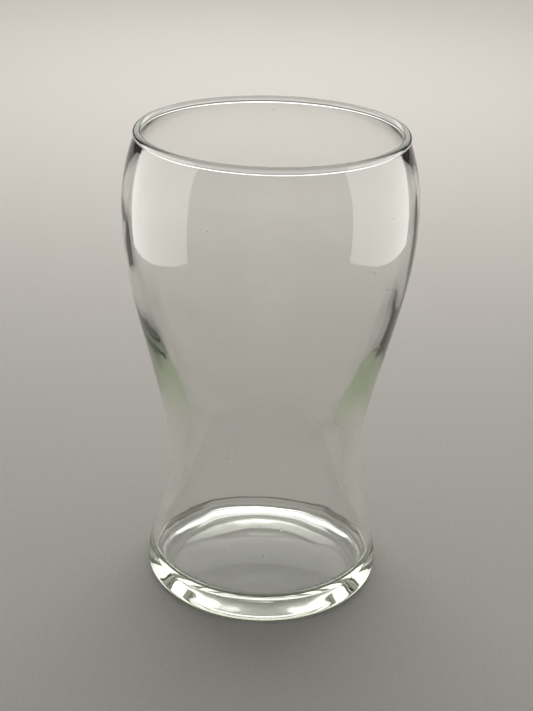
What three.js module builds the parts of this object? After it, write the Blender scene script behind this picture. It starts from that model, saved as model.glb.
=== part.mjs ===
// Pint glass: a one-piece pressed and blown tumbler of clear soda-lime glass.
// A thick foot flares up and in to a waist, the bowl swells out above it, and the wall closes in
// again to a fire-polished rim.
// Units are millimetres. +Z is the axis of the glass, and the origin is the centre of the foot on
// the plane that the glass stands on.

import * as THREE from 'three';

// ---- Overall sizes ----
const glassHeight = 146;
const rimRadius = 40;
const bowlRadius = 43.8;
const waistRadius = 29.9;
const footRadius = 37.4;

// ---- Places of the outline's stations ----
const bowlBelowRim = 25;
const waistHeight = 39;
const heelHeight = 8.2;

// ---- Foot ----
const heelRounding = 2.8;
const heelInset = 1;
const bearingWidth = 1.5;
const puntDepth = 3.2;

// ---- Glass thickness ----
const floorThickness = 6.5;
const footWall = 3.6;
const waistWall = 5.45;
const bowlWall = 2.55;
const rimBeadRadius = 1.2;

// ---- Inside shape ----
const floorCornerRadius = 3;
const innerWaistLift = 5;
const innerBowlLift = 2;

// ---- Where the wall runs into the rim bead, measured down from the bead's middle ----
const beadOuterWrap = THREE.MathUtils.degToRad(48);
const beadInnerWrap = THREE.MathUtils.degToRad(20);

// ---- Slope of the wall at each station, as radius gained for each millimetre climbed, and how
// ---- far the station holds that slope, as a share of the climb to its neighbour ----
const creaseLine = { slope: -0.04, holdAbove: 0.33 };
const waistLine = { slope: 0, holdBelow: 0.36, holdAbove: 0.3 };
const bowlLine = { slope: 0, holdBelow: 0.34, holdAbove: 0.42 };
const neckLine = { slope: -0.5, holdBelow: 0.2 };
const innerFootLine = { slope: -0.26, holdAbove: 0.43 };
const innerWaistLine = { slope: 0, holdBelow: 0.5, holdAbove: 0.31 };
const innerBowlLine = { slope: 0, holdBelow: 0.45, holdAbove: 0.35 };
const mouthLine = { slope: -0.3, holdBelow: 0.3 };
const heelSideFullness = 0.7;

// ---- Mesh fineness ----
const segmentsAround = 48;
const puntSteps = 4;
const heelSteps = 5;
const flareSteps = 7;
const bodySteps = 12;
const shoulderSteps = 6;
const beadQuarterSteps = 4;
const beadTuckSteps = 2;
const cornerSteps = 5;

/**
 * The wall between a lower and an upper station, as points that climb from one to the other.
 * The first point is left out, because the stretch below ends on it.
 */
function wallStretch(lower, upper, steps) {
  const climb = upper.height - lower.height;
  const lowerHold = lower.holdAbove * climb;
  const upperHold = upper.holdBelow * climb;
  const curve = new THREE.CubicBezierCurve(
    new THREE.Vector2(lower.radius, lower.height),
    new THREE.Vector2(lower.radius + lower.slope * lowerHold, lower.height + lowerHold),
    new THREE.Vector2(upper.radius - upper.slope * upperHold, upper.height - upperHold),
    new THREE.Vector2(upper.radius, upper.height),
  );
  return curve.getPoints(steps).slice(1);
}

/** Points of an arc, both ends included. Angles are counted from straight outward. */
function arcPoints(centre, radius, startAngle, endAngle, steps) {
  const points = [];
  for (let step = 0; step <= steps; step += 1) {
    const angle = THREE.MathUtils.lerp(startAngle, endAngle, step / steps);
    const offset = new THREE.Vector2(Math.cos(angle), Math.sin(angle)).multiplyScalar(radius);
    points.push(offset.add(centre));
  }
  return points;
}

/** The underside: a shallow dome, pushed up inside the flat ring that the glass stands on. */
function puntPoints() {
  const ringInner = footRadius - heelRounding - bearingWidth;
  const domeRadius = (ringInner ** 2 + puntDepth ** 2) / (2 * puntDepth);
  const domeCentre = new THREE.Vector2(0, puntDepth - domeRadius);
  const edgeAngle = Math.acos(ringInner / domeRadius);
  return arcPoints(domeCentre, domeRadius, Math.PI / 2, edgeAngle, puntSteps);
}

/** The heel: rounded under the foot, upright at its widest, then drawn in to the crease. */
function heelPoints(crease) {
  const roundCentre = new THREE.Vector2(footRadius - heelRounding, heelRounding);
  const underRound = arcPoints(roundCentre, heelRounding, -Math.PI / 2, 0, heelSteps);
  const side = new THREE.QuadraticBezierCurve(
    new THREE.Vector2(footRadius, heelRounding),
    new THREE.Vector2(
      footRadius,
      THREE.MathUtils.lerp(heelRounding, crease.height, heelSideFullness),
    ),
    new THREE.Vector2(crease.radius, crease.height),
  );
  return [...underRound, ...side.getPoints(heelSteps).slice(1)];
}

/** The rolled rim, from the wall's outside over the top to the wall's inside. */
function rimBeadPoints() {
  const centre = new THREE.Vector2(rimRadius - rimBeadRadius, glassHeight - rimBeadRadius);
  const top = Math.PI / 2;
  const inside = Math.PI + beadInnerWrap;
  return [
    ...arcPoints(centre, rimBeadRadius, -beadOuterWrap, 0, beadTuckSteps),
    ...arcPoints(centre, rimBeadRadius, 0, top, beadQuarterSteps).slice(1),
    ...arcPoints(centre, rimBeadRadius, top, inside, beadQuarterSteps).slice(1),
  ];
}

/** The rounded corner between the floor and the inner wall, from the wall down to the floor. */
function floorCornerPoints() {
  const wallLean = Math.atan(-innerFootLine.slope);
  const centre = new THREE.Vector2(
    footRadius - heelInset - footWall - floorCornerRadius,
    floorThickness + floorCornerRadius,
  );
  return arcPoints(centre, floorCornerRadius, wallLean, -Math.PI / 2, cornerSteps);
}

/** The whole outline, from the axis under the foot, up the outside and down to the floor. */
function glassOutline() {
  const bowlHeight = glassHeight - bowlBelowRim;
  const bead = rimBeadPoints();
  const neckPoint = bead[0];
  const mouthPoint = bead[bead.length - 1];
  const corner = floorCornerPoints();

  const crease = { ...creaseLine, radius: footRadius - heelInset, height: heelHeight };
  const waist = { ...waistLine, radius: waistRadius, height: waistHeight };
  const bowl = { ...bowlLine, radius: bowlRadius, height: bowlHeight };
  const neck = { ...neckLine, radius: neckPoint.x, height: neckPoint.y };

  const innerFoot = { ...innerFootLine, radius: corner[0].x, height: corner[0].y };
  const innerWaist = {
    ...innerWaistLine,
    radius: waistRadius - waistWall,
    height: waistHeight + innerWaistLift,
  };
  const innerBowl = {
    ...innerBowlLine,
    radius: bowlRadius - bowlWall,
    height: bowlHeight + innerBowlLift,
  };
  const mouth = { ...mouthLine, radius: mouthPoint.x, height: mouthPoint.y };

  const outerWall = [
    ...wallStretch(crease, waist, flareSteps),
    ...wallStretch(waist, bowl, bodySteps),
    ...wallStretch(bowl, neck, shoulderSteps),
  ];
  const innerWall = [
    ...wallStretch(innerFoot, innerWaist, flareSteps),
    ...wallStretch(innerWaist, innerBowl, bodySteps),
    ...wallStretch(innerBowl, mouth, shoulderSteps),
  ];
  return [
    ...puntPoints(),
    ...heelPoints(crease),
    ...outerWall,
    ...bead.slice(1),
    ...innerWall.reverse().slice(1),
    ...corner,
    new THREE.Vector2(0, floorThickness),
  ];
}

const clearGlass = new THREE.MeshStandardMaterial({
  name: 'clear_glass',
  color: 0xe4ece2,
  roughness: 0.03,
  metalness: 0,
  transparent: true,
  opacity: 0.35,
});

const glassGeometry = new THREE.LatheGeometry(glassOutline(), segmentsAround);
glassGeometry.rotateX(Math.PI / 2);

const glassBody = new THREE.Mesh(glassGeometry, clearGlass);
glassBody.name = 'glass_body';

const pintGlass = new THREE.Group();
pintGlass.name = 'pint_glass';
pintGlass.add(glassBody);

export default pintGlass;
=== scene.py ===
"""Pint glass, finished for the camera.

A press-blown tumbler of clear soda-lime glass: a thick stippled foot, a waist, a swelling bowl and
a fire-polished rim, all in one piece. Lengths are metres, +Z is the axis of the glass, and the
origin is the centre of the foot on the plane that the glass stands on.
"""

import logging
import math
from dataclasses import dataclass, field
from enum import Enum
from typing import Any, Sequence

import bpy
from mathutils import Matrix, Vector

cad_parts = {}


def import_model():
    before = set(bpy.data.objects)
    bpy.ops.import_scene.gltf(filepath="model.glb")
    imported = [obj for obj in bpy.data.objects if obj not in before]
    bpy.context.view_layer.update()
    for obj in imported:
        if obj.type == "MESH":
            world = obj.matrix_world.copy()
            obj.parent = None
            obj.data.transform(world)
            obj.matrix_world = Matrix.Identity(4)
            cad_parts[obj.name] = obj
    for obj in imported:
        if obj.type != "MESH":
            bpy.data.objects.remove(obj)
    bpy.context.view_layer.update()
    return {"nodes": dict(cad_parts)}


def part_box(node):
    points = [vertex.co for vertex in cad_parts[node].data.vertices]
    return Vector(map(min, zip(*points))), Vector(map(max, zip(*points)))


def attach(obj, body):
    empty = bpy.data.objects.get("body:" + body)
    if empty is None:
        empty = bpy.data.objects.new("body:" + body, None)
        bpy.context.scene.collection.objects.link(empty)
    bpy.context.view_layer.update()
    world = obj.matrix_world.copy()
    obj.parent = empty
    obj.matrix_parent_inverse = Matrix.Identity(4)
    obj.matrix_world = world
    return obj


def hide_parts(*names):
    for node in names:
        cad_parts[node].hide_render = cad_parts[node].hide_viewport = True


log = logging.getLogger("pint_glass")

MM = 0.001
GLASS_NODE = "glass_body"
ROOT_BODY = "root"

Point = tuple[float, float]
Place = tuple[float, float, float]
Stretch = tuple[float, float, float]
Range = tuple[float, float]
Holds = tuple[float, float]
LampColour = tuple[float, float, float]
Colour = tuple[float, float, float, float]


# ---- Node sums -------------------------------------------------------------------------------


class Signal:
    """A number that comes out of a node, on which sums are written as plain Python."""

    def __init__(self, board: "NodeBoard", socket: bpy.types.NodeSocket) -> None:
        """Keeps the board that the sums are laid out on, and the socket they start from."""
        self.board = board
        self.socket = socket

    def _sum(
        self, operation: str, first: "Signal | float", second: "Signal | float"
    ) -> "Signal":
        """Adds one Math node.

        Args:
            operation: The Math node's operation.
            first: The first number or signal.
            second: The second number or signal.

        Returns:
            The result as a signal.
        """
        settings = {"operation": operation}
        return self.board.node("ShaderNodeMath", settings, {0: first, 1: second})

    def __add__(self, other: "Signal | float") -> "Signal":
        """self + other."""
        return self._sum("ADD", self, other)

    __radd__ = __add__

    def __mul__(self, other: "Signal | float") -> "Signal":
        """self * other."""
        return self._sum("MULTIPLY", self, other)

    __rmul__ = __mul__

    def band(self, low: float, high: float) -> "Signal":
        """Rises smoothly from 0 at low to 1 at high, or falls if low is the greater.

        Args:
            low: The value that gives 0.
            high: The value that gives 1.

        Returns:
            The eased signal, between 0 and 1.
        """
        settings = {"interpolation_type": "SMOOTHSTEP", "clamp": True}
        sockets = {"Value": self, "From Min": low, "From Max": high, "To Min": 0.0, "To Max": 1.0}
        if low > high:
            sockets.update({"From Min": high, "From Max": low, "To Min": 1.0, "To Max": 0.0})
        return self.board.node("ShaderNodeMapRange", settings, sockets)


class NodeBoard:
    """The node tree of one material, with the one method that adds nodes to it."""

    def __init__(self, name: str) -> None:
        """Makes an empty material of that name."""
        self.material = bpy.data.materials.new(name)
        self.material.use_nodes = True
        self.tree = self.material.node_tree
        self.tree.nodes.clear()

    def node(
        self,
        kind: str,
        settings: dict[str, Any] | None = None,
        sockets: dict[str | int, Any] | None = None,
        output: str | int = 0,
    ) -> Signal:
        """Adds a node.

        Args:
            kind: The node's type.
            settings: Attributes that are set before any socket.
            sockets: What each input holds: a plain value, or the signal that feeds it.
            output: The output that is handed on.

        Returns:
            That output as a signal.
        """
        made = self.tree.nodes.new(kind)
        for key, value in (settings or {}).items():
            setattr(made, key, value)
        for key, value in (sockets or {}).items():
            if isinstance(value, Signal):
                self.tree.links.new(value.socket, made.inputs[key])
            else:
                made.inputs[key].default_value = value
        return Signal(self, made.outputs[output])

    def place(self) -> Signal:
        """Where a point lies on the piece, in metres."""
        return self.node("ShaderNodeTexCoord", output="Object")

    def noise(self, size: float, detail: float = 2.0, stretch: Sequence[float] = (1, 1, 1)) -> Signal:
        """Cloudy noise on the piece.

        Args:
            size: How far apart the clouds lie, in metres.
            detail: How many finer layers are added.
            stretch: The pattern's scale along each axis.

        Returns:
            The noise, about 0.5 on average.
        """
        laid = self.node("ShaderNodeMapping", None, {"Vector": self.place(), "Scale": stretch})
        sockets = {"Vector": laid, "Scale": 1.0 / size, "Detail": detail}
        return self.node("ShaderNodeTexNoise", None, sockets, "Fac")

    def dots(self, spacing: float) -> tuple[Signal, Signal]:
        """Scattered points on the piece.

        Args:
            spacing: How far apart the points lie, in metres.

        Returns:
            How far the nearest point is, as a share of the spacing, and that point's own chance.
        """
        sockets = {"Vector": self.place(), "Scale": 1.0 / spacing}
        distance = self.node("ShaderNodeTexVoronoi", None, sockets, "Distance")
        colour = Signal(self, distance.socket.node.outputs["Color"])
        return distance, self.node("ShaderNodeSeparateColor", None, {"Color": colour}, "Red")

    def finish(self, surface: Signal, volume: Signal | None = None) -> bpy.types.Material:
        """Closes the tree.

        Args:
            surface: The surface shader.
            volume: What fills the inside, if anything does.

        Returns:
            The finished material.
        """
        sockets = {"Surface": surface} if volume is None else {"Surface": surface, "Volume": volume}
        output = self.tree.nodes.new("ShaderNodeOutputMaterial")
        for key, value in sockets.items():
            self.tree.links.new(value.socket, output.inputs[key])
        return self.material


# ---- Finishes --------------------------------------------------------------------------------


@dataclass(frozen=True)
class ClearGlass:
    """Clear soda-lime glass: green in its depth, with a trace of handling on its surface."""

    name: str = "clear_soda_lime_glass"
    refraction: float = 1.52
    depth_tint: Colour = (0.855, 0.93, 0.785, 1.0)
    depth_density: float = 16.0
    clean_tint: Colour = (1.0, 1.0, 1.0, 1.0)

    smear_size: float = 26 * MM
    smear_detail: float = 4.0
    smear_stretch: Stretch = (1.0, 1.0, 0.6)
    smear_range: Range = (0.56, 0.78)
    smear_grain: float = 0.7 * MM
    smear_roughness: float = 0.035

    speck_spacing: float = 5.5 * MM
    speck_edge: Range = (0.07, 0.03)
    speck_share: float = 0.16
    speck_share_fade: float = 0.02
    speck_roughness: float = 0.45
    speck_height: float = 0.04 * MM
    speck_tint: Colour = (0.86, 0.86, 0.84, 1.0)

    ripple_size: float = 6 * MM
    ripple_stretch: Stretch = (1.0, 1.0, 0.35)
    ripple_height: float = 0.04 * MM

    def _specks(self, board: NodeBoard) -> Signal:
        """Fine dry water spots.

        Args:
            board: The board that the nodes are added to.

        Returns:
            A mask, 1 on a spot and 0 between them.
        """
        distance, chance = board.dots(self.speck_spacing)
        chosen = chance.band(self.speck_share, self.speck_share - self.speck_share_fade)
        return distance.band(*self.speck_edge) * chosen

    def build(self) -> bpy.types.Material:
        """Makes the material.

        Returns:
            The glass material.
        """
        board = NodeBoard(self.name)
        specks = self._specks(board)
        clouds = board.noise(self.smear_size, self.smear_detail, self.smear_stretch)
        smears = clouds.band(*self.smear_range)
        grain = board.noise(self.smear_grain, 1.0)
        roughness = smears * (grain * self.smear_roughness) + specks * self.speck_roughness
        tint = board.node(
            "ShaderNodeMix",
            {"data_type": "RGBA"},
            {"Factor": specks, "A": self.clean_tint, "B": self.speck_tint},
            "Result",
        )
        ripple = board.noise(self.ripple_size, 0.0, self.ripple_stretch) * self.ripple_height
        relief = board.node(
            "ShaderNodeBump",
            None,
            {"Strength": 1.0, "Distance": 1.0, "Height": ripple + specks * self.speck_height},
        )
        surface = board.node(
            "ShaderNodeBsdfPrincipled",
            None,
            {
                "Base Color": tint,
                "Roughness": roughness,
                "Normal": relief,
                "IOR": self.refraction,
                "Transmission Weight": 1.0,
            },
        )
        inside = board.node(
            "ShaderNodeVolumeAbsorption",
            None,
            {"Color": self.depth_tint, "Density": self.depth_density},
        )
        return board.finish(surface, inside)


@dataclass(frozen=True)
class PaleMatt:
    """The studio floor: pale, matt and very slightly mottled."""

    name: str = "pale_matt_floor"
    light: Colour = (0.645, 0.628, 0.598, 1.0)
    dark: Colour = (0.612, 0.595, 0.566, 1.0)
    mottle_size: float = 1.2 * MM
    mottle_detail: float = 3.0
    mottle_range: Range = (0.3, 0.7)
    roughness: float = 0.6

    def build(self) -> bpy.types.Material:
        """Makes the material.

        Returns:
            The floor material.
        """
        board = NodeBoard(self.name)
        mottle = board.noise(self.mottle_size, self.mottle_detail)
        colour = board.node(
            "ShaderNodeMix",
            {"data_type": "RGBA"},
            {"Factor": mottle.band(*self.mottle_range), "A": self.dark, "B": self.light},
            "Result",
        )
        surface = board.node(
            "ShaderNodeBsdfPrincipled",
            None,
            {"Base Color": colour, "Roughness": self.roughness, "Specular IOR Level": 0.0},
        )
        return board.finish(surface)


# ---- Bench work ------------------------------------------------------------------------------


def clear_bench() -> None:
    """Leaves nothing selected, so that the next operator acts on its own piece alone."""
    if bpy.context.object is not None and bpy.context.object.mode != "OBJECT":
        bpy.ops.object.mode_set(mode="OBJECT")
    bpy.ops.object.select_all(action="DESELECT")


def on_circle(centre: Point, radius: float, angle: float) -> Point:
    """The point of a circle at an angle, which is counted from straight outward."""
    return centre[0] + radius * math.cos(angle), centre[1] + radius * math.sin(angle)


def arc(centre: Point, radius: float, start: float, end: float, steps: int) -> list[Point]:
    """Points of an arc, both ends included.

    Args:
        centre: Its centre, as radius and height.
        radius: Its radius.
        start: The first angle, counted from straight outward.
        end: The last angle.
        steps: How many steps lie between them.

    Returns:
        The points.
    """
    angles = [start + (end - start) * step / steps for step in range(steps + 1)]
    return [on_circle(centre, radius, angle) for angle in angles]


def bezier(controls: Sequence[Point], steps: int) -> list[Point]:
    """Points of a Bezier curve, the first left out because the stretch before ends on it.

    Args:
        controls: The control points.
        steps: How many points are given.

    Returns:
        The points.
    """
    degree = len(controls) - 1
    points = []
    for step in range(1, steps + 1):
        t = step / steps
        weights = [
            math.comb(degree, k) * t**k * (1 - t) ** (degree - k) for k in range(degree + 1)
        ]
        points.append(
            (
                sum(w * control[0] for w, control in zip(weights, controls)),
                sum(w * control[1] for w, control in zip(weights, controls)),
            )
        )
    return points


@dataclass(frozen=True)
class Station:
    """A place on the wall that the outline passes through.

    The slope is the radius gained for each unit climbed. The holds say how far the wall keeps
    that slope below and above, as a share of the climb to its neighbour.
    """

    radius: float
    height: float
    slope: float = 0.0
    hold_below: float = 0.0
    hold_above: float = 0.0


def wall(lower: Station, upper: Station, steps: int) -> list[Point]:
    """The wall between two stations, from just above the lower one up to the upper one.

    Args:
        lower: The station it climbs from.
        upper: The station it climbs to.
        steps: How many points are given.

    Returns:
        The points.
    """
    climb = upper.height - lower.height
    lower_hold = lower.hold_above * climb
    upper_hold = upper.hold_below * climb
    controls = [
        (lower.radius, lower.height),
        (lower.radius + lower.slope * lower_hold, lower.height + lower_hold),
        (upper.radius - upper.slope * upper_hold, upper.height - upper_hold),
        (upper.radius, upper.height),
    ]
    return bezier(controls, steps)


# ---- The glass -------------------------------------------------------------------------------


@dataclass
class GlassBody:
    """The whole tumbler, foot to rim, as one closed shell of glass."""

    rim_radius: float = 40 * MM
    waist_radius: float = 29.9 * MM
    foot_radius: float = 37.4 * MM

    bowl_below_rim: float = 25 * MM
    waist_height: float = 39 * MM
    heel_height: float = 8.2 * MM

    heel_rounding: float = 2.8 * MM
    heel_inset: float = 1.0 * MM
    heel_side_fullness: float = 0.7
    bearing_width: float = 1.5 * MM
    punt_depth: float = 3.2 * MM

    floor_thickness: float = 6.5 * MM
    foot_wall: float = 3.6 * MM
    waist_wall: float = 5.45 * MM
    bowl_wall: float = 2.55 * MM
    bead_radius: float = 1.2 * MM
    bead_outer_wrap: float = math.radians(48)
    bead_inner_wrap: float = math.radians(20)

    floor_corner: float = 3 * MM
    inner_waist_lift: float = 5 * MM
    inner_bowl_lift: float = 2 * MM

    crease_slope: float = -0.04
    crease_hold: float = 0.33
    waist_holds: Holds = (0.36, 0.3)
    bowl_holds: Holds = (0.34, 0.42)
    neck_slope: float = -0.5
    neck_hold: float = 0.2
    inner_foot_slope: float = -0.26
    inner_foot_hold: float = 0.43
    inner_waist_holds: Holds = (0.5, 0.31)
    inner_bowl_holds: Holds = (0.45, 0.35)
    mouth_slope: float = -0.3
    mouth_hold: float = 0.3

    stipple_count: int = 120
    stipple_margin: float = 0.2 * MM
    stipple_reach: float = 1.5 * MM
    stipple_inset: float = 0.12 * MM
    stipple_depth: float = 0.22 * MM

    wave_size: float = 12 * MM
    wave_height: float = 0.3 * MM

    turns: int = 240
    punt_steps: int = 14
    heel_steps: int = 14
    heel_side_steps: int = 10
    foot_steps: int = 18
    bowl_steps: int = 34
    shoulder_steps: int = 14
    bead_steps: tuple[int, int, int] = (5, 8, 10)
    corner_steps: int = 12
    floor_shares: tuple[float, ...] = (0.8, 0.6, 0.4, 0.2, 0.0)
    merge_distance: float = 0.002 * MM
    smooth_angle: float = math.radians(40)
    finish: ClearGlass = field(default_factory=ClearGlass)

    def _ring_inner(self) -> float:
        """The radius at which the dome under the foot meets the bearing ring."""
        return self.foot_radius - self.heel_rounding - self.bearing_width

    def _bead_centre(self, height: float) -> Point:
        """The middle of the rolled rim, as radius and height."""
        return self.rim_radius - self.bead_radius, height - self.bead_radius

    def _stations(self, height: float, bowl_radius: float) -> dict[str, Station]:
        """The places that the outer and inner walls pass through.

        Args:
            height: The height of the rim's top.
            bowl_radius: The radius of the bowl at its widest.

        Returns:
            The stations by name.
        """
        bead = self._bead_centre(height)
        neck = on_circle(bead, self.bead_radius, -self.bead_outer_wrap)
        mouth = on_circle(bead, self.bead_radius, math.pi + self.bead_inner_wrap)
        bowl_height = height - self.bowl_below_rim
        corner = self._floor_corner()[0]
        return {
            "crease": Station(
                self.foot_radius - self.heel_inset,
                self.heel_height,
                self.crease_slope,
                hold_above=self.crease_hold,
            ),
            "waist": Station(self.waist_radius, self.waist_height, 0.0, *self.waist_holds),
            "bowl": Station(bowl_radius, bowl_height, 0.0, *self.bowl_holds),
            "neck": Station(*neck, self.neck_slope, hold_below=self.neck_hold),
            "inner_foot": Station(
                *corner, self.inner_foot_slope, hold_above=self.inner_foot_hold
            ),
            "inner_waist": Station(
                self.waist_radius - self.waist_wall,
                self.waist_height + self.inner_waist_lift,
                0.0,
                *self.inner_waist_holds,
            ),
            "inner_bowl": Station(
                bowl_radius - self.bowl_wall,
                bowl_height + self.inner_bowl_lift,
                0.0,
                *self.inner_bowl_holds,
            ),
            "mouth": Station(*mouth, self.mouth_slope, hold_below=self.mouth_hold),
        }

    def _punt(self) -> list[Point]:
        """The shallow dome under the foot.

        Returns:
            Its points, from the axis out to the bearing ring.
        """
        reach = self._ring_inner()
        radius = (reach**2 + self.punt_depth**2) / (2 * self.punt_depth)
        centre = (0.0, self.punt_depth - radius)
        return arc(centre, radius, math.pi / 2, math.acos(reach / radius), self.punt_steps)

    def _stipple_start(self) -> Point:
        """The edge on the flat bearing ring where its stippling starts."""
        return self._ring_inner() + self.stipple_margin, 0.0

    def _heel(self) -> list[Point]:
        """The rounded heel.

        Returns:
            Its points, from the bearing ring up to the crease where the wall begins.
        """
        middle = (self.foot_radius - self.heel_rounding, self.heel_rounding)
        side_climb = self.heel_height - self.heel_rounding
        side = [
            (self.foot_radius, self.heel_rounding),
            (self.foot_radius, self.heel_rounding + self.heel_side_fullness * side_climb),
            (self.foot_radius - self.heel_inset, self.heel_height),
        ]
        rounding = arc(middle, self.heel_rounding, -math.pi / 2, 0.0, self.heel_steps)
        return rounding + bezier(side, self.heel_side_steps)

    def _rim_bead(self, height: float) -> list[Point]:
        """The rolled rim, from just past the wall's outside, over the top, to its inside.

        Args:
            height: The height of the rim's top.

        Returns:
            The points.
        """
        centre = self._bead_centre(height)
        angles = (-self.bead_outer_wrap, 0.0, math.pi / 2, math.pi + self.bead_inner_wrap)
        points = []
        for start, end, steps in zip(angles, angles[1:], self.bead_steps):
            points += arc(centre, self.bead_radius, start, end, steps)[1:]
        return points

    def _floor_corner(self) -> list[Point]:
        """The rounded corner inside the foot.

        Returns:
            Its points, from the wall down to the floor.
        """
        centre = (
            self.foot_radius - self.heel_inset - self.foot_wall - self.floor_corner,
            self.floor_thickness + self.floor_corner,
        )
        lean = math.atan(-self.inner_foot_slope)
        return arc(centre, self.floor_corner, lean, -math.pi / 2, self.corner_steps)

    def _outline(self, height: float, bowl_radius: float) -> list[Point]:
        """The whole outline, from the axis under the foot, up the outside and down to the floor.

        Args:
            height: The height of the rim's top.
            bowl_radius: The radius of the bowl at its widest.

        Returns:
            The points, as radius and height.
        """
        at = self._stations(height, bowl_radius)
        outer = (
            wall(at["crease"], at["waist"], self.foot_steps)
            + wall(at["waist"], at["bowl"], self.bowl_steps)
            + wall(at["bowl"], at["neck"], self.shoulder_steps)
        )
        inner = (
            wall(at["inner_foot"], at["inner_waist"], self.foot_steps)
            + wall(at["inner_waist"], at["inner_bowl"], self.bowl_steps)
            + wall(at["inner_bowl"], at["mouth"], self.shoulder_steps)
        )
        inner.reverse()
        corner = self._floor_corner()
        floor_edge = corner[-1][0]
        floor = [(floor_edge * share, self.floor_thickness) for share in self.floor_shares]
        return (
            self._punt()
            + [self._stipple_start()]
            + self._heel()
            + outer
            + self._rim_bead(height)
            + inner[1:]
            + corner
            + floor
        )

    def _turn(self, outline: Sequence[Point]) -> bpy.types.Object:
        """Draws the outline point by point and spins it into a closed body.

        Args:
            outline: The outline, as radius and height.

        Returns:
            The body.
        """
        clear_bench()
        # A small plane merged to its centre leaves the one vertex that the outline starts from.
        first = Vector((outline[0][0], 0.0, outline[0][1]))
        bpy.ops.mesh.primitive_plane_add(size=self.bead_radius, location=first)
        body = bpy.context.object
        bpy.ops.object.transform_apply(location=True, rotation=True, scale=True)
        bpy.ops.object.mode_set(mode="EDIT")
        bpy.ops.mesh.select_all(action="SELECT")
        bpy.ops.mesh.merge(type="CENTER")
        for here, there in zip(outline, outline[1:]):
            step = (there[0] - here[0], 0.0, there[1] - here[1])
            bpy.ops.mesh.extrude_vertices_move(TRANSFORM_OT_translate={"value": step})
        bpy.ops.mesh.select_all(action="SELECT")
        bpy.ops.mesh.spin(
            steps=self.turns, angle=math.tau, center=(0.0, 0.0, 0.0), axis=(0.0, 0.0, 1.0)
        )
        bpy.ops.mesh.select_all(action="SELECT")
        bpy.ops.mesh.remove_doubles(threshold=self.merge_distance)
        bpy.ops.mesh.normals_make_consistent(inside=False)
        bpy.ops.object.mode_set(mode="OBJECT")
        return body

    def _stipple(self, body: bpy.types.Object) -> None:
        """Presses the fine radial stippling into the ring that the glass stands on.

        Args:
            body: The glass.
        """
        inner = self._stipple_start()[0]
        outer = self.foot_radius - self.heel_rounding + self.stipple_reach
        bpy.ops.object.mode_set(mode="EDIT")
        bpy.ops.mesh.select_mode(type="FACE")
        bpy.ops.mesh.select_all(action="DESELECT")
        bpy.ops.object.mode_set(mode="OBJECT")
        for face in body.data.polygons:
            reach = math.hypot(face.center.x, face.center.y)
            on_ring = inner < reach < outer and face.center.z < self.heel_rounding
            turn = math.atan2(face.center.y, face.center.x) / math.tau % 1.0
            in_groove = int(turn * 2 * self.stipple_count) % 2 == 0
            face.select = on_ring and in_groove
        bpy.ops.object.mode_set(mode="EDIT")
        bpy.ops.mesh.inset(thickness=self.stipple_inset, use_individual=False)
        bpy.ops.transform.translate(value=(0.0, 0.0, self.stipple_depth))
        bpy.ops.mesh.select_all(action="DESELECT")
        bpy.ops.mesh.select_mode(type="VERT")
        bpy.ops.object.mode_set(mode="OBJECT")

    def _wave_inside(self, body: bpy.types.Object, height: float) -> None:
        """Gives the blown inner wall the slow waves that a mould never touches.

        Args:
            body: The glass.
            height: The height of the rim's top.
        """
        group = body.vertex_groups.new(name="inner_wall")
        low = self.floor_thickness + self.floor_corner
        high = height - self.bowl_below_rim / 2
        for vertex in body.data.vertices:
            outward = vertex.normal.x * vertex.co.x + vertex.normal.y * vertex.co.y
            rise = min(max((vertex.co.z - low) / self.waist_height, 0.0), 1.0)
            fall = min(max((high - vertex.co.z) / self.bowl_below_rim, 0.0), 1.0)
            if outward < 0.0 and rise * fall > 0.0:
                group.add([vertex.index], rise * fall, "REPLACE")
        clouds = bpy.data.textures.new("slow_waves", type="CLOUDS")
        clouds.noise_scale = self.wave_size
        clouds.noise_depth = 0
        wave = body.modifiers.new("slow_waves", "DISPLACE")
        wave.texture = clouds
        wave.vertex_group = group.name
        wave.strength = self.wave_height
        wave.mid_level = 0.5
        bpy.context.view_layer.objects.active = body
        bpy.ops.object.modifier_apply(modifier=wave.name)
        body.vertex_groups.clear()

    def build(self, box: tuple[Vector, Vector]) -> bpy.types.Object:
        """Makes and dresses the glass.

        Args:
            box: The lowest and highest corner of the CAD node that it stands for.

        Returns:
            The finished piece.
        """
        lowest, highest = box
        height = highest.z - lowest.z
        bowl_radius = (highest.x - lowest.x) / 2
        body = self._turn(self._outline(height, bowl_radius))
        body.name = "pint_glass_body"
        body.data.name = body.name
        self._stipple(body)
        self._wave_inside(body, height)
        body.select_set(True)
        bpy.ops.object.shade_smooth_by_angle(angle=self.smooth_angle)
        body.data.materials.append(self.finish.build())
        return body


# ---- Studio ----------------------------------------------------------------------------------


class Duty(Enum):
    """What a lamp is hung for."""

    LIGHT = "lights the floor and the glass"
    SHEEN = "only shows as a reflection on the glass"


@dataclass(frozen=True)
class Softbox:
    """A rectangular soft lamp that looks at one point, with its power in watts."""

    name: str
    place: Place
    aim: Place
    width: float
    height: float
    power: float
    spread: float = 180.0
    duty: Duty = Duty.LIGHT
    tone: LampColour = (1.0, 0.98, 0.95)

    def build(self) -> bpy.types.Object:
        """Hangs the lamp.

        Returns:
            The lamp.
        """
        light = bpy.data.lights.new(self.name, type="AREA")
        light.shape = "RECTANGLE"
        light.size = self.width
        light.size_y = self.height
        light.energy = self.power
        light.spread = math.radians(self.spread)
        light.color = self.tone
        lamp = bpy.data.objects.new(self.name, light)
        bpy.context.scene.collection.objects.link(lamp)
        lamp.visible_diffuse = self.duty is Duty.LIGHT
        lamp.visible_transmission = self.duty is Duty.LIGHT
        lamp.location = self.place
        lamp.rotation_mode = "QUATERNION"
        lamp.rotation_quaternion = (Vector(self.aim) - Vector(self.place)).to_track_quat("-Z", "Y")
        return lamp


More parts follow.
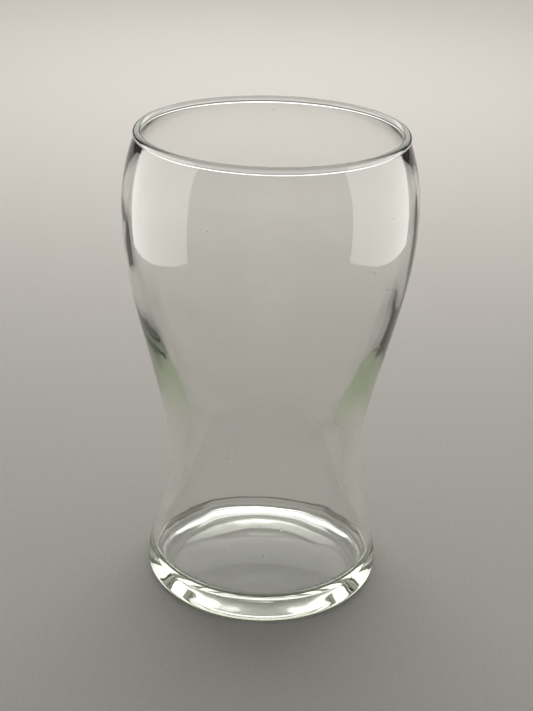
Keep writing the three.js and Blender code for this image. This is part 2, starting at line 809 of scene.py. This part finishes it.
@dataclass
class Studio:
    """The plain pale floor, the soft lamps round it and the surrounding fill."""

    floor_size: float = 6.0
    fill: Colour = (0.18, 0.176, 0.169, 1.0)
    floor_finish: PaleMatt = field(default_factory=PaleMatt)
    lamps: tuple[Softbox, ...] = (
        Softbox(
            "overhead_softbox",
            place=(0.0, 0.35, 1.3),
            aim=(0.0, 0.35, 0.0),
            width=1.2,
            height=1.2,
            power=3.4,
        ),
        Softbox(
            "floor_softbox",
            place=(0.0, 0.62, 0.95),
            aim=(0.0, 0.62, 0.0),
            width=0.7,
            height=0.7,
            power=0.75,
            spread=50.0,
        ),
        Softbox(
            "rear_softbox",
            place=(0.0, 1.4, 0.9),
            aim=(0.0, 0.0, 0.05),
            width=2.6,
            height=1.2,
            power=14.0,
        ),
        Softbox(
            "left_panel",
            place=(-0.25, 0.0, 0.143),
            aim=(0.0, 0.0, 0.143),
            width=0.3,
            height=0.27,
            power=0.65,
            duty=Duty.SHEEN,
        ),
        Softbox(
            "right_panel",
            place=(0.25, 0.0, 0.152),
            aim=(0.0, 0.0, 0.152),
            width=0.3,
            height=0.27,
            power=0.65,
            duty=Duty.SHEEN,
        ),
    )

    def build(self) -> None:
        """Lays the floor, hangs the lamps and sets the fill."""
        clear_bench()
        bpy.ops.mesh.primitive_plane_add(size=self.floor_size, location=(0.0, 0.0, 0.0))
        floor = bpy.context.object
        floor.name = "studio_floor"
        floor.data.materials.append(self.floor_finish.build())
        for lamp in self.lamps:
            lamp.build()
        world = bpy.data.worlds.new("studio_fill")
        world.use_nodes = True
        world.node_tree.nodes["Background"].inputs["Color"].default_value = self.fill
        bpy.context.scene.world = world


@dataclass(frozen=True)
class Viewpoint:
    """The camera: a standing view down on the glass, with a slight lean of the horizon.

    The lens and the sensor are in millimetres.
    """

    distance: float = 0.3634
    height: float = 0.2432
    pitch: float = math.radians(24.96)
    roll: float = math.radians(1.5)
    lens: float = 65.42
    sensor: float = 36.0

    def build(self) -> bpy.types.Object:
        """Sets up the camera and makes it the scene's own.

        Returns:
            The camera.
        """
        data = bpy.data.cameras.new("studio_camera")
        data.sensor_fit = "VERTICAL"
        data.sensor_height = self.sensor
        data.sensor_width = self.sensor
        data.lens = self.lens
        camera = bpy.data.objects.new("studio_camera", data)
        bpy.context.scene.collection.objects.link(camera)
        tilt = Matrix.Rotation(math.pi / 2 - self.pitch, 4, "X")
        lean = Matrix.Rotation(self.roll, 4, "Z")
        camera.matrix_world = Matrix.Translation((0.0, -self.distance, self.height)) @ tilt @ lean
        bpy.context.scene.camera = camera
        return camera


@dataclass(frozen=True)
class LightPaths:
    """How far light is followed through the glass, and how its brightness is shown."""

    bounces: int = 24
    diffuse_bounces: int = 4
    brightest_indirect: float = 8.0

    def apply(self) -> None:
        """Sets the scene's light paths and its view transform."""
        scene = bpy.context.scene
        cycles = scene.cycles
        cycles.max_bounces = self.bounces
        cycles.transmission_bounces = self.bounces
        cycles.glossy_bounces = self.bounces
        cycles.diffuse_bounces = self.diffuse_bounces
        cycles.caustics_reflective = True
        cycles.caustics_refractive = True
        cycles.sample_clamp_indirect = self.brightest_indirect
        scene.view_settings.view_transform = "Standard"


def main() -> None:
    """Builds the glass and the studio, in order."""
    logging.basicConfig(level=logging.INFO, format="%(name)s: %(message)s")
    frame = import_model()
    log.info("frame loaded with %d node(s)", len(frame["nodes"]))

    glass = GlassBody().build(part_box(GLASS_NODE))
    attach(glass, ROOT_BODY)
    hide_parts(GLASS_NODE)
    log.info("%s has %d faces", glass.name, len(glass.data.polygons))

    Studio().build()
    Viewpoint().build()
    LightPaths().apply()
    log.info("studio, camera and light paths are set")


if __name__ == "__main__":
    main()
